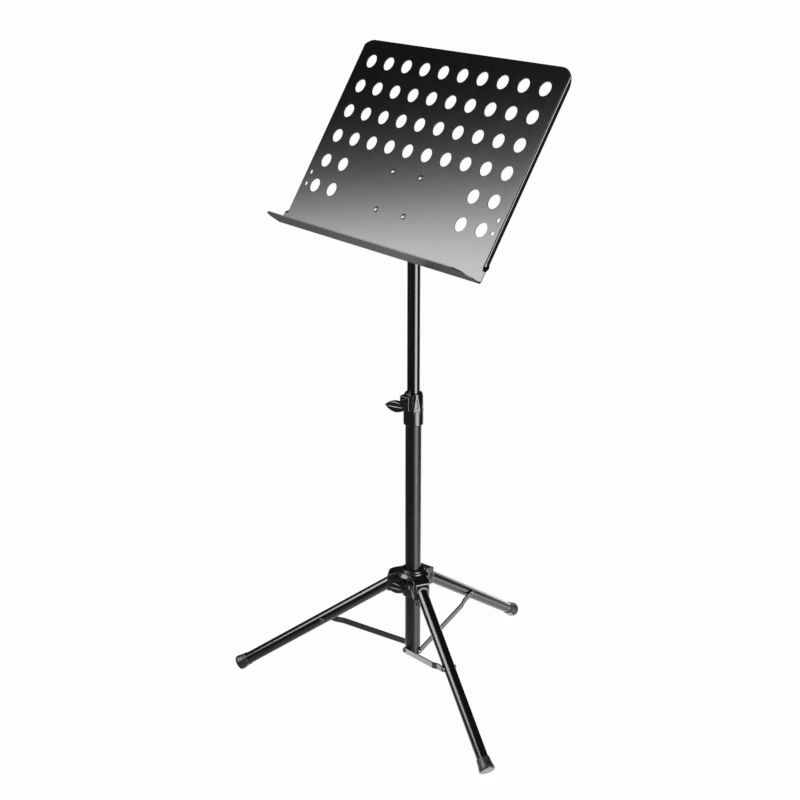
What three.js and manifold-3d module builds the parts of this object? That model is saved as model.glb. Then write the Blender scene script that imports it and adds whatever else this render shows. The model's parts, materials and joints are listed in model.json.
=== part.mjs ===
// A folding orchestra music stand: a perforated sheet-metal desk with a ledge, a telescoping column with a
// clamp, and a tripod whose legs fold against the column. Millimetres, +Z up, the desk faces -Y.
import * as THREE from "three";
import { mergeVertices } from "three/addons/utils/BufferGeometryUtils.js";
import Module from "manifold-3d";

const wasm = await Module();
wasm.setup();

const DEG = Math.PI / 180;
const GAP = 0.3; // clearance between pieces that touch
const ROUND = 24; // sides of the larger round pieces
const SMALL_ROUND = 12; // sides of screws, rivets and holes

// Desk sheet, in the desk's own frame: x across, y up the face, z out of the face,
// zero at the third row of holes.
const SHEET = 1.5;
const DESK_TILT = 32.3; // lean back from the vertical
const DESK_Y = 28.7;
const DESK_Z = 968.4;
const DESK_TOP = 127.2;
const DESK_BEND = -211.5; // where the ledge turns forward
const FOLD_X = 240; // half width at the side folds
const BLANK_X = 247; // half width of the flat sheet
const CORNER = 30;
const FLANGE_LOW = -190;
const FLANGE_SLANT = 11;
const LEDGE_DEPTH = 47;
const LEDGE_RISE = 3.6; // the ledge turns up past square to the face
const HOLE_PITCH = 45;
const HOLE_RADIUS = 11.5;
const HOLE_COLUMNS = 10;
const FULL_ROWS = 4;
const SIDE_ROWS = 2;
const SIDE_COLUMNS = 2;
const CLIP_HOLE_RADIUS = 3.3;
const CLIP_HOLE_X = 226.3;
const CLIP_HOLES_Y = [-115, -136];

// Tilt joint behind the desk.
const PIVOT_DEPTH = 38.3; // tilt axis behind the desk's face
const BRACKET_Y = -114.3;
const BRACKET_THICK = 2;
const EAR_THICK = 2.5;
const EAR_ROUND = 13;
const RIVET_X = 33.2;
const RIVET_Y = 32.5;
const TONGUE_HALF = 8;
const WASHER = 1;
const BOLT_RADIUS = 4;
const EAR_INNER = TONGUE_HALF + 2 * GAP + WASHER;
const EAR_OUTER = EAR_INNER + EAR_THICK;
const TILT_WING_X = EAR_OUTER + GAP + 13;

// Column.
const UPPER_RADIUS = 10.5;
const UPPER_WALL = 1.3;
const UPPER_BOTTOM = 306;
const UPPER_TOP = 826;
const LOWER_RADIUS = 13.25;
const LOWER_WALL = 1.4;
const LOWER_BOTTOM = 60;
const PLUG_LIP = 2.5;
const PLUG_TOP = 80;
const LOWER_TOP = 517.5;
const CLUTCH_BOTTOM = 484.5;
const CLUTCH_TOP = 539.2;
const CLUTCH_RADIUS = 16.5;
const CLUTCH_FLAT_Z = 512; // where the slanted flats start
const CLUTCH_LEAN = 5;
const CLUTCH_FACET = 0.9; // depth of the upright flats between the slanted ones
const CLUTCH_BOSS_BOTTOM = 514;
const CLUTCH_BOSS_TOP = 538.5;
const CLUTCH_SCREW_Z = 527.7;
const BOSS_REACH = 25.6;
const BOSS_HALF = 9;

// Wing screws.
const SCREW_RADIUS = 3;
const WING_CENTRE = 45; // handle's middle, from the column's axis
const WING_HALF = 24;
const WING_RISE = 10; // half the leaf's height, square to the screw
const WING_THICK = 11; // along the screw
const WING_POINT = 1.8; // how bluntly the leaf narrows to its tips
const WING_ROLL = -4; // turn of the handle about its screw, as stored

// Tripod, in an arm's own frame: x outward, y to the left, z up.
const BASE_YAW = 12.4;
const ARM_ANGLES = [-30, 90, 210];
const HUB_BOTTOM = 173;
const HUB_TOP = 222;
const SLEEVE_RADIUS = 19;
const ARM_REACH = 43;
const ARM_HALF = 14;
const ARM_BOTTOM = 181;
const ARM_ROOF = 209.3;
const POCKET_HALF = 10.6;
const PIVOT_R = 34;
const PIVOT_Z = 196;
const HUB_SCREW_Z = 201.4;
const LEG_RADIUS = 10;
const LEG_WALL = 1.2;
const FOOT_R = 311;
const FOOT_Z = 10.2;
const LEG_INNER = 4.5; // tube beyond the pivot
const FOOT_LENGTH = 21;
const FOOT_RADIUS = 13;
const LEG_DROP = Math.atan2(PIVOT_Z - FOOT_Z, FOOT_R - PIVOT_R);
const LEG_LENGTH = Math.hypot(PIVOT_Z - FOOT_Z, FOOT_R - PIVOT_R);
const LINK_ON_LEG = 150.2; // strut rivet's distance from the leg's pivot
const STRUT_Z = 64.7; // strut pivots on the lower tube
const STRUT_WIDE = 10;
const STRUT_THICK = 2.5;
const STRUT_INNER_Y = LOWER_RADIUS + GAP + STRUT_THICK / 2;
const STRUT_OUTER_Y = LEG_RADIUS + GAP + STRUT_THICK / 2;
const LINK_R = PIVOT_R + LINK_ON_LEG * Math.cos(LEG_DROP);
const LINK_Z = PIVOT_Z - LINK_ON_LEG * Math.sin(LEG_DROP);
const STRUT_LENGTH = Math.hypot(LINK_R, LINK_Z - STRUT_Z);
const STRUT_RISE = Math.atan2(LINK_Z - STRUT_Z, LINK_R);

const MATERIALS = {
  powder_coat: new THREE.MeshStandardMaterial({ color: 0x151515, roughness: 0.35, metalness: 0.2 }),
  satin_coat: new THREE.MeshStandardMaterial({ color: 0x141414, roughness: 0.45, metalness: 0.2 }),
  tube_coat: new THREE.MeshStandardMaterial({ color: 0x121212, roughness: 0.3, metalness: 0.2 }),
  black_plastic: new THREE.MeshStandardMaterial({ color: 0x161616, roughness: 0.45, metalness: 0 }),
  black_rubber: new THREE.MeshStandardMaterial({ color: 0x1a1a1a, roughness: 0.8, metalness: 0 }),
  black_steel: new THREE.MeshStandardMaterial({ color: 0x202022, roughness: 0.3, metalness: 0.8 }),
  brass: new THREE.MeshStandardMaterial({ color: 0xb08d4a, roughness: 0.35, metalness: 1 }),
};

// ---- solids ----

// The closed geometry as a solid, with its shared vertices merged and its empty triangles left out.
function solid(geometry) {
  const plain = geometry.clone();
  plain.deleteAttribute("normal");
  plain.deleteAttribute("uv");
  const merged = mergeVertices(plain, 1e-4);
  const index = merged.index.array;
  const triangles = [];
  for (let i = 0; i < index.length; i += 3) {
    const [a, b, c] = [index[i], index[i + 1], index[i + 2]];
    if (a !== b && b !== c && a !== c) triangles.push(a, b, c);
  }
  const vertProperties = Float32Array.from(merged.attributes.position.array);
  const triVerts = Uint32Array.from(triangles);
  return new wasm.Manifold(new wasm.Mesh({ numProp: 3, vertProperties, triVerts }));
}

function geometryOf(body) {
  const mesh = body.getMesh();
  const geometry = new THREE.BufferGeometry();
  geometry.setAttribute("position", new THREE.BufferAttribute(new Float32Array(mesh.vertProperties), 3));
  geometry.setIndex(new THREE.BufferAttribute(new Uint32Array(mesh.triVerts), 1));
  const flat = geometry.toNonIndexed();
  flat.computeVertexNormals();
  return flat;
}

const join = (geometries) => geometries.map(solid).reduce((a, b) => a.add(b));
const cut = (body, geometries) => geometries.map(solid).reduce((a, b) => a.subtract(b), body);

// A box from its lowest to its highest corner.
function block(low, high) {
  const size = high.map((v, i) => v - low[i]);
  const middle = high.map((v, i) => (v + low[i]) / 2);
  return new THREE.BoxGeometry(...size).translate(...middle);
}

// A round bar along Z from z0 to z1.
function bar(radius, z0, z1, sides = SMALL_ROUND) {
  const geometry = new THREE.CylinderGeometry(radius, radius, z1 - z0, sides);
  return geometry.rotateX(Math.PI / 2).translate(0, 0, (z0 + z1) / 2);
}

const alongX = (geometry) => geometry.rotateY(Math.PI / 2);
const alongY = (geometry) => geometry.rotateX(-Math.PI / 2);

// A solid of revolution about Z from [radius, z] points in order up the outside.
function turned(points, sides = ROUND) {
  const profile = points.map(([r, z]) => new THREE.Vector2(r, z));
  return new THREE.LatheGeometry(profile, sides).rotateX(Math.PI / 2);
}

// A tube about Z.
function tube(outer, inner, z0, z1, sides = ROUND) {
  return turned([[inner, z0], [outer, z0], [outer, z1], [inner, z1], [inner, z0]], sides);
}

// An outline of (y, z) points or curves, thick along X from x0 to x1.
function plateYZ(shape, x0, x1, curveSegments = 6) {
  const plate = new THREE.ExtrudeGeometry(shape, { depth: x1 - x0, bevelEnabled: false, curveSegments });
  const basis = new THREE.Matrix4().makeBasis(
    new THREE.Vector3(0, 1, 0),
    new THREE.Vector3(0, 0, 1),
    new THREE.Vector3(1, 0, 0),
  );
  return plate.applyMatrix4(basis).translate(x0, 0, 0);
}

// An outline of (x, z) points or curves, thick along Y from y0 to y1.
function plateXZ(shape, y0, y1, curveSegments = 6) {
  const plate = new THREE.ExtrudeGeometry(shape, { depth: y1 - y0, bevelEnabled: false, curveSegments });
  return plate.rotateX(Math.PI / 2).translate(0, y1, 0);
}

function mesh(name, shape, material) {
  const geometry = shape.isBufferGeometry ? shape : geometryOf(shape);
  const made = new THREE.Mesh(geometry, MATERIALS[material]);
  made.name = name;
  return made;
}

function group(children, { position = [0, 0, 0], rotation = [0, 0, 0] } = {}) {
  const made = new THREE.Group();
  made.position.set(...position);
  made.rotation.set(...rotation);
  made.add(...children);
  return made;
}

// ---- desk ----

function roundHole(x, y, radius) {
  return new THREE.Path().absarc(x, y, radius, 0, 2 * Math.PI, true);
}

// Ten columns of holes in four full rows, then two rows with two holes at each side.
function perforation() {
  const holes = [];
  for (let row = 0; row < FULL_ROWS + SIDE_ROWS; row++) {
    for (let column = 0; column < HOLE_COLUMNS; column++) {
      const fromSide = Math.min(column, HOLE_COLUMNS - 1 - column);
      if (row >= FULL_ROWS && fromSide >= SIDE_COLUMNS) continue;
      const x = (column - (HOLE_COLUMNS - 1) / 2) * HOLE_PITCH;
      holes.push(roundHole(x, (2 - row) * HOLE_PITCH, HOLE_RADIUS));
    }
  }
  return holes;
}

const rivetPlaces = [-1, 1].flatMap((side) =>
  [-1, 1].map((end) => [side * RIVET_X, BRACKET_Y + end * RIVET_Y]));

// The flat face: rounded top corners cut off at the folds, and full width again below the folds.
function faceShape() {
  const cornerX = BLANK_X - CORNER;
  const cornerY = DESK_TOP - CORNER;
  const meet = Math.acos((FOLD_X - cornerX) / CORNER);
  const shape = new THREE.Shape();
  shape.moveTo(-BLANK_X, DESK_BEND);
  shape.lineTo(BLANK_X, DESK_BEND);
  shape.lineTo(BLANK_X, FLANGE_LOW - 6);
  shape.lineTo(FOLD_X, FLANGE_LOW + 2);
  shape.absarc(cornerX, cornerY, CORNER, meet, Math.PI / 2, false);
  shape.absarc(-cornerX, cornerY, CORNER, Math.PI / 2, Math.PI - meet, false);
  shape.lineTo(-FOLD_X, FLANGE_LOW + 2);
  shape.lineTo(-BLANK_X, FLANGE_LOW - 6);
  shape.holes = perforation();
  for (const x of [-CLIP_HOLE_X, CLIP_HOLE_X])
    for (const y of CLIP_HOLES_Y) shape.holes.push(roundHole(x, y, CLIP_HOLE_RADIUS));
  for (const [x, y] of rivetPlaces) shape.holes.push(roundHole(x, y, 2.8));
  return shape;
}

// A side fold, as deep as the blank reaches past the fold line, with a slanted lower end.
function flangeShape() {
  const depth = BLANK_X - FOLD_X + SHEET;
  const cornerY = DESK_TOP - CORNER;
  const shape = new THREE.Shape();
  shape.moveTo(cornerY + 19, 0);
  shape.quadraticCurveTo(cornerY + 12, -depth + 1, cornerY, -depth);
  shape.lineTo(FLANGE_LOW + FLANGE_SLANT, -depth);
  shape.lineTo(FLANGE_LOW, 0);
  return shape;
}

function ledgeShape() {
  const cornerX = BLANK_X - CORNER;
  const cornerZ = LEDGE_DEPTH - CORNER;
  const shape = new THREE.Shape();
  shape.moveTo(-BLANK_X, -SHEET);
  shape.lineTo(BLANK_X, -SHEET);
  shape.absarc(cornerX, cornerZ, CORNER, 0, Math.PI / 2, false);
  shape.absarc(-cornerX, cornerZ, CORNER, Math.PI / 2, Math.PI, false);
  return shape;
}

function deskPanel() {
  const flat = { depth: SHEET, bevelEnabled: false, curveSegments: 6 };
  const face = new THREE.ExtrudeGeometry(faceShape(), flat);
  face.translate(0, 0, -SHEET);
  const flanges = [
    plateYZ(flangeShape(), FOLD_X - SHEET, FOLD_X, 4),
    plateYZ(flangeShape(), -FOLD_X, -FOLD_X + SHEET, 4),
  ];
  const ledge = plateXZ(ledgeShape(), 0, SHEET);
  ledge.rotateX(-LEDGE_RISE * DEG).translate(0, DESK_BEND, 0);
  return join([face, ...flanges, ledge]);
}

// The folded bracket: a base riveted to the sheet and two ears that hold the tilt bolt.
function deskBracket() {
  const front = -SHEET - GAP;
  const base = new THREE.Shape();
  base.moveTo(-42, -44);
  base.lineTo(42, -44);
  base.lineTo(42, 44);
  base.lineTo(-42, 44);
  for (const [x, y] of rivetPlaces) base.holes.push(roundHole(x, y - BRACKET_Y, 2.8));
  const flat = { depth: BRACKET_THICK, bevelEnabled: false, curveSegments: 6 };
  const plate = new THREE.ExtrudeGeometry(base, flat);
  plate.translate(0, BRACKET_Y, front - BRACKET_THICK);
  const ear = new THREE.Shape();
  ear.moveTo(BRACKET_Y + 32, front - 0.5);
  ear.lineTo(BRACKET_Y - 32, front - 0.5);
  ear.lineTo(BRACKET_Y - 32, front - 5);
  ear.absarc(BRACKET_Y, -PIVOT_DEPTH, EAR_ROUND, Math.PI, 2 * Math.PI, false);
  ear.lineTo(BRACKET_Y + 32, front - 5);
  ear.holes.push(roundHole(BRACKET_Y, -PIVOT_DEPTH, BOLT_RADIUS + GAP));
  return join([plate, plateYZ(ear, EAR_INNER, EAR_OUTER), plateYZ(ear, -EAR_OUTER, -EAR_INNER)]);
}

// A domed rivet through the sheet and the bracket's base.
function bracketRivet() {
  const back = -SHEET - GAP - BRACKET_THICK;
  return turned([
    [0, back - 1.8], [4, back - 1.8], [4, back - GAP], [2.5, back - GAP],
    [2.5, GAP], [4.6, GAP], [3.8, 1.5], [0, 2.2],
  ], SMALL_ROUND);
}

function tiltBolt() {
  const shank = alongX(bar(BOLT_RADIUS, -EAR_OUTER - 1, TILT_WING_X - 3.5));
  const head = alongX(bar(7.5, -EAR_OUTER - 5.3, -EAR_OUTER - GAP, 6));
  return join([shank, head]);
}

const tiltWasher = () =>
  alongX(tube(9.5, BOLT_RADIUS + GAP, TONGUE_HALF + GAP, TONGUE_HALF + GAP + WASHER, 16));

// ---- wing handles ----

// A leaf-shaped handle, a spindle along X pressed flat: the screw runs along Y and the leaf stands across it.
function wingHandle(bore, stemStart) {
  const steps = 12;
  const outline = Array.from({ length: steps + 1 }, (_, i) => {
    const along = (2 * i) / steps - 1;
    return [WING_RISE * (1 - Math.abs(along) ** WING_POINT), along * WING_HALF];
  });
  const blade = alongX(turned(outline, SMALL_ROUND)).scale(1, WING_THICK / 2 / WING_RISE, 1);
  const stem = alongY(bar(6.5, stemStart, 2));
  return cut(join([blade, stem]), [alongY(bar(bore, stemStart - 1, -3))]);
}

// A screw along -Y with its handle and pressure pad; y counts outward from the column's axis.
function wingScrew(name, z, padInner, handleInner) {
  const stemStart = handleInner - WING_CENTRE;
  const handle = mesh(`${name}_wing`, wingHandle(SCREW_RADIUS + GAP, stemStart), "black_plastic");
  handle.position.set(0, -WING_CENTRE, z);
  handle.rotation.set(0, WING_ROLL * DEG, Math.PI);
  const shank = alongY(bar(SCREW_RADIUS, -WING_CENTRE + 3.5, -padInner - 2 - GAP));
  const screw = mesh(`${name}_screw`, shank, "black_steel");
  screw.position.z = z;
  const pad = mesh(`${name}_pad`, alongY(bar(SCREW_RADIUS, -padInner - 2, -padInner)), "brass");
  pad.position.z = z;
  return [handle, screw, pad];
}

// ---- column ----

const armFrame = (i, children) => group(children, { rotation: [0, 0, ARM_ANGLES[i] * DEG] });

function aroundArms(geometryAt) {
  return ARM_ANGLES.map((angle) => geometryAt().rotateZ(angle * DEG));
}

function lowerTube() {
  const wall = solid(tube(LOWER_RADIUS, LOWER_RADIUS - LOWER_WALL, LOWER_BOTTOM, LOWER_TOP));
  const holes = aroundArms(() => alongY(bar(2.8, -LOWER_RADIUS - 1, -5)).translate(0, 0, STRUT_Z));
  return cut(wall, holes);
}

function tubePlug() {
  const radius = LOWER_RADIUS - LOWER_WALL - GAP;
  const plug = solid(turned([
    [0, LOWER_BOTTOM - PLUG_LIP], [LOWER_RADIUS - 0.8, LOWER_BOTTOM - PLUG_LIP],
    [LOWER_RADIUS, LOWER_BOTTOM - PLUG_LIP + 0.8], [LOWER_RADIUS, LOWER_BOTTOM - GAP],
    [radius, LOWER_BOTTOM - GAP], [radius, PLUG_TOP], [0, PLUG_TOP],
  ]));
  const holes = aroundArms(() => alongY(bar(2.8, -LOWER_RADIUS - 1, -5)).translate(0, 0, STRUT_Z));
  return cut(plug, holes);
}

// The clamp on top of the lower tube: a cylinder that slanted flats turn into a hexagon at the top, a block for
// the screw and stepped bores.
function clutchCollar() {
  const body = solid(turned([
    [0, CLUTCH_BOTTOM], [CLUTCH_RADIUS - 1, CLUTCH_BOTTOM], [CLUTCH_RADIUS, CLUTCH_BOTTOM + 2.5],
    [CLUTCH_RADIUS, CLUTCH_TOP - 6], [14, CLUTCH_TOP], [0, CLUTCH_TOP],
  ]));
  const flats = [0, 60, 120, 180, 240, 300].map((angle) => {
    const slab = block([0, -20, 0], [20, 20, 40]).rotateY(-CLUTCH_LEAN * DEG);
    return slab.translate(CLUTCH_RADIUS, 0, CLUTCH_FLAT_Z).rotateZ(angle * DEG);
  });
  const facets = [30, 90, 150, 210, 330].map((angle) =>
    block([CLUTCH_RADIUS - CLUTCH_FACET, -20, CLUTCH_FLAT_Z - 2], [20, 20, CLUTCH_TOP + 2]).rotateZ(angle * DEG));
  const boss = block([-BOSS_HALF, -BOSS_REACH, CLUTCH_BOSS_BOTTOM], [BOSS_HALF, -5, CLUTCH_BOSS_TOP]);
  const bores = [
    bar(LOWER_RADIUS + GAP, CLUTCH_BOTTOM - 1, LOWER_TOP + GAP, ROUND),
    bar(LOWER_RADIUS - 0.3, LOWER_TOP, CLUTCH_TOP - 3.5, ROUND),
    bar(UPPER_RADIUS + GAP, CLUTCH_TOP - 4, CLUTCH_TOP + 1, ROUND),
    alongY(bar(SCREW_RADIUS + GAP, -BOSS_REACH - 1, -8)).translate(0, 0, CLUTCH_SCREW_Z),
  ];
  return cut(cut(body, [...flats, ...facets]).add(solid(boss)), bores);
}

function clutchBush() {
  const ring = solid(tube(LOWER_RADIUS - 0.6, UPPER_RADIUS + GAP, LOWER_TOP + 2 * GAP, CLUTCH_TOP - 4));
  return cut(ring, [alongY(bar(SCREW_RADIUS + GAP, -LOWER_RADIUS - 1, -8)).translate(0, 0, CLUTCH_SCREW_Z)]);
}

const strutScrew = () => {
  const outer = STRUT_INNER_Y + STRUT_THICK / 2 + GAP;
  return join([alongY(bar(2.5, -outer - 1, -6)), alongY(bar(4.2, -outer - 2.2, -outer))]);
};

// ---- upper tube ----

function tiltHead(pivotZ) {
  const tongue = new THREE.Shape();
  tongue.moveTo(-UPPER_RADIUS, UPPER_TOP + 2);
  tongue.lineTo(UPPER_RADIUS, UPPER_TOP + 2);
  tongue.absarc(0, pivotZ, UPPER_RADIUS + 1.5, 0, Math.PI, false);
  tongue.holes.push(roundHole(0, pivotZ, BOLT_RADIUS + GAP));
  const collar = bar(UPPER_RADIUS, UPPER_TOP + GAP, UPPER_TOP + 6, ROUND);
  const spigot = bar(UPPER_RADIUS - UPPER_WALL - GAP, UPPER_TOP - 28, UPPER_TOP + 1, ROUND);
  return join([plateYZ(tongue, -TONGUE_HALF, TONGUE_HALF), collar, spigot]);
}

function mastGuide() {
  const inTube = UPPER_RADIUS - UPPER_WALL - GAP;
  const inLower = LOWER_RADIUS - LOWER_WALL - GAP;
  return turned([
    [0, UPPER_BOTTOM - 10], [inLower, UPPER_BOTTOM - 10], [inLower, UPPER_BOTTOM - GAP],
    [inTube, UPPER_BOTTOM - GAP], [inTube, UPPER_BOTTOM + 20], [0, UPPER_BOTTOM + 20],
  ]);
}

// ---- tripod ----

// An arm seen from its side: sloping roof, upright end and a slanted inner edge under the cheeks.
function armShape() {
  const shape = new THREE.Shape();
  shape.moveTo(0, 200);
  shape.lineTo(18, 200);
  shape.lineTo(31.5, ARM_BOTTOM);
  shape.lineTo(ARM_REACH, ARM_BOTTOM);
  shape.lineTo(ARM_REACH, ARM_ROOF);
  shape.lineTo(18, 217);
  shape.lineTo(0, 217);
  return shape;
}

// The space for a leg under the roof, open below and through the end wall.
function pocketShape() {
  const shape = new THREE.Shape();
  shape.moveTo(20.5, ARM_BOTTOM - 12);
  shape.lineTo(ARM_REACH - 2, ARM_BOTTOM - 12);
  shape.lineTo(ARM_REACH - 2, ARM_ROOF - 3);
  shape.lineTo(28, 211);
  shape.lineTo(20.5, 211);
  return shape;
}

// The arch in the end wall that the leg swings through.
function archShape() {
  const top = 205;
  const shape = new THREE.Shape();
  shape.moveTo(-POCKET_HALF, ARM_BOTTOM - 12);
  shape.lineTo(POCKET_HALF, ARM_BOTTOM - 12);
  shape.absarc(0, top - POCKET_HALF, POCKET_HALF, 0, Math.PI, false);
  return shape;
}

function hubBody() {
  const dome = turned([
    [0, HUB_BOTTOM], [SLEEVE_RADIUS - 1, HUB_BOTTOM], [SLEEVE_RADIUS, HUB_BOTTOM + 2], [SLEEVE_RADIUS, 205],
    [24, 211], [24, 215], [19.5, 219], [17.5, 219.5], [16.8, HUB_TOP], [0, HUB_TOP],
  ]);
  const arms = aroundArms(() => plateXZ(armShape(), -ARM_HALF, ARM_HALF));
  const boss = block([-BOSS_HALF, -BOSS_REACH, 191], [BOSS_HALF, -5, 211]);
  const pockets = aroundArms(() => plateXZ(pocketShape(), -POCKET_HALF, POCKET_HALF));
  const arches = aroundArms(() => plateYZ(archShape(), ARM_REACH - 4, ARM_REACH + 2));
  const boltHoles = aroundArms(() => alongY(bar(3.3, -20, 20)).translate(PIVOT_R, 0, PIVOT_Z));
  const recesses = [-1, 1].flatMap((side) =>
    aroundArms(() => alongY(bar(6, ARM_HALF - 1.8, ARM_HALF + 2)).rotateZ(side > 0 ? 0 : Math.PI)
      .translate(PIVOT_R, 0, PIVOT_Z)));
  const slots = [-6, 0, 6].flatMap((y) => aroundArms(() => block([30, y - 1, 200], [39, y + 1, 225])));
  const bore = bar(LOWER_RADIUS + GAP, HUB_BOTTOM - 1, HUB_TOP + 1, ROUND);
  const step = bar(LOWER_RADIUS + 1.6, HUB_TOP - 2.5, HUB_TOP + 1, ROUND);
  const screwHole = alongY(bar(SCREW_RADIUS + GAP, -BOSS_REACH - 1, -8)).translate(0, 0, HUB_SCREW_Z);
  const holes = [bore, step, screwHole, ...pockets, ...arches, ...boltHoles, ...recesses, ...slots];
  return cut(join([dome, ...arms, boss]), holes);
}

const legBolt = () =>
  join([alongY(bar(3, -ARM_HALF + 1, ARM_HALF - 1)), alongY(bar(5.2, ARM_HALF - 1.5, ARM_HALF + 0.8, 6))]);

function legNut() {
  const hexagon = solid(alongY(bar(5.2, -ARM_HALF - 0.8, -ARM_HALF + 1.5, 6)));
  return cut(hexagon, [alongY(bar(3 + GAP, -20, 0))]);
}

// A leg along +X from its pivot.
function legTube() {
  const wall = solid(alongX(tube(LEG_RADIUS, LEG_RADIUS - LEG_WALL, -LEG_INNER, LEG_LENGTH - 3, 16)));
  const holes = [alongY(bar(3.3, -12, 12)), alongY(bar(2.6, -12, 12)).translate(LINK_ON_LEG, 0, 0)];
  return cut(wall, holes);
}

// A rubber cap that flares to a foot, trimmed flat where it stands on the floor.
function foot() {
  const start = LEG_LENGTH - FOOT_LENGTH;
  const cap = turned([
    [0, start], [11.2, start], [11.6, start + 8], [FOOT_RADIUS, LEG_LENGTH - 5],
    [FOOT_RADIUS, LEG_LENGTH - 1], [FOOT_RADIUS - 1.2, LEG_LENGTH], [0, LEG_LENGTH],
  ], 20).rotateY(Math.PI / 2);
  const hollow = alongX(bar(LEG_RADIUS + GAP, start - 1, LEG_LENGTH - 3 + GAP, 16));
  const floor = block([-60, -40, -40], [60, 40, 0])
    .translate(FOOT_R - PIVOT_R, 0, -PIVOT_Z).rotateY(-LEG_DROP);
  return cut(solid(cap), [hollow, floor]);
}

const legRivet = () =>
  join([alongY(bar(2.3, -LEG_RADIUS + 0.2, 11)), alongY(bar(4, LEG_RADIUS + GAP, 12.4))]);

// A flat strut along +X from its pivot, set over from the tube's side to the leg's side near its outer end.
function strut() {
  const half = STRUT_THICK / 2;
  const [bend, flat, end] = [STRUT_LENGTH - 38, STRUT_LENGTH - 22, STRUT_LENGTH + STRUT_WIDE / 2];
  const side = new THREE.Shape();
  side.moveTo(-STRUT_WIDE / 2, -STRUT_INNER_Y - half);
  side.lineTo(bend + 0.5, -STRUT_INNER_Y - half);
  side.lineTo(flat + 0.5, -STRUT_OUTER_Y - half);
  side.lineTo(end, -STRUT_OUTER_Y - half);
  side.lineTo(end, -STRUT_OUTER_Y + half);
  side.lineTo(flat, -STRUT_OUTER_Y + half);
  side.lineTo(bend, -STRUT_INNER_Y + half);
  side.lineTo(-STRUT_WIDE / 2, -STRUT_INNER_Y + half);
  const strip = new THREE.ExtrudeGeometry(side, { depth: STRUT_WIDE, bevelEnabled: false });
  strip.translate(0, 0, -STRUT_WIDE / 2);
  const outline = new THREE.Shape();
  outline.absarc(STRUT_LENGTH, 0, STRUT_WIDE / 2, -Math.PI / 2, Math.PI / 2, false);
  outline.absarc(0, 0, STRUT_WIDE / 2, Math.PI / 2, 1.5 * Math.PI, false);
  outline.holes.push(roundHole(0, 0, 2.8), roundHole(STRUT_LENGTH, 0, 2.8));
  return solid(strip).intersect(solid(plateXZ(outline, -25, 0)));
}

const strutRivet = () => {
  const outer = STRUT_OUTER_Y + STRUT_THICK / 2 + GAP;
  return join([alongY(bar(2.4, -outer - 1, -LEG_RADIUS - GAP)), alongY(bar(4, -outer - 2, -outer))]);
};

function legGroup(i) {
  const pieces = [
    mesh(`leg_tube_${i + 1}`, legTube(), "tube_coat"),
    mesh(`foot_${i + 1}`, foot(), "black_rubber"),
  ];
  const rivet = mesh(`leg_rivet_${i + 1}`, legRivet(), "black_steel");
  rivet.position.x = LINK_ON_LEG;
  return group([...pieces, rivet], { position: [PIVOT_R, 0, PIVOT_Z], rotation: [0, LEG_DROP, 0] });
}

function strutGroup(i) {
  const rivet = mesh(`strut_rivet_${i + 1}`, strutRivet(), "black_steel");
  rivet.position.x = STRUT_LENGTH;
  const pieces = [mesh(`strut_${i + 1}`, strut(), "powder_coat"), rivet];
  return group(pieces, { position: [0, 0, STRUT_Z], rotation: [0, -STRUT_RISE, 0] });
}

function armGroup(i) {
  const bolt = mesh(`leg_bolt_${i + 1}`, legBolt(), "black_steel");
  const nut = mesh(`leg_nut_${i + 1}`, legNut(), "black_steel");
  for (const piece of [bolt, nut]) piece.position.set(PIVOT_R, 0, PIVOT_Z);
  const screw = mesh(`strut_screw_${i + 1}`, strutScrew(), "black_steel");
  screw.position.z = STRUT_Z;
  return armFrame(i, [bolt, nut, screw, legGroup(i), strutGroup(i)]);
}

// ---- assembly ----

const base = group(
  [
    mesh("lower_tube", lowerTube(), "satin_coat"),
    mesh("tube_plug", tubePlug(), "black_plastic"),
    mesh("clutch_collar", clutchCollar(), "black_plastic"),
    mesh("clutch_bush", clutchBush(), "black_plastic"),
    ...wingScrew("clutch", CLUTCH_SCREW_Z, UPPER_RADIUS + GAP, BOSS_REACH + GAP),
    mesh("tripod_hub", hubBody(), "black_plastic"),
    ...wingScrew("hub", HUB_SCREW_Z, LOWER_RADIUS + GAP, BOSS_REACH + GAP),
    ...ARM_ANGLES.map((_, i) => armGroup(i)),
  ],
  { rotation: [0, 0, BASE_YAW * DEG] },
);

const tilt = DESK_TILT * DEG;
const pivotZ = DESK_Z + BRACKET_Y * Math.cos(tilt) - PIVOT_DEPTH * Math.sin(tilt);
const mast = group([
  mesh("upper_tube", tube(UPPER_RADIUS, UPPER_RADIUS - UPPER_WALL, UPPER_BOTTOM, UPPER_TOP), "tube_coat"),
  mesh("mast_guide", mastGuide(), "black_plastic"),
  mesh("tilt_head", tiltHead(pivotZ), "powder_coat"),
]);
for (const [side, turn] of [["right", 0], ["left", Math.PI]]) {
  const washer = mesh(`tilt_washer_${side}`, tiltWasher(), "black_plastic");
  washer.position.z = pivotZ;
  washer.rotation.z = turn;
  mast.add(washer);
}

const bolt = mesh("tilt_bolt", tiltBolt(), "black_steel");
bolt.position.set(0, BRACKET_Y, -PIVOT_DEPTH);
const tiltWing = mesh("tilt_wing", wingHandle(BOLT_RADIUS + GAP, -13), "black_plastic");
tiltWing.position.set(TILT_WING_X, BRACKET_Y, -PIVOT_DEPTH);
tiltWing.rotation.set(Math.PI / 2, 0, -Math.PI / 2);
const rivets = rivetPlaces.map(([x, y], i) => {
  const rivet = mesh(`bracket_rivet_${i + 1}`, bracketRivet(), "black_steel");
  rivet.position.set(x, y, 0);
  return rivet;
});
const desk = group(
  [mesh("desk_panel", deskPanel(), "powder_coat"), mesh("desk_bracket", deskBracket(), "powder_coat"),
    ...rivets, bolt, tiltWing],
  { position: [0, DESK_Y, DESK_Z], rotation: [Math.PI / 2 - tilt, 0, 0] },
);

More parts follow.
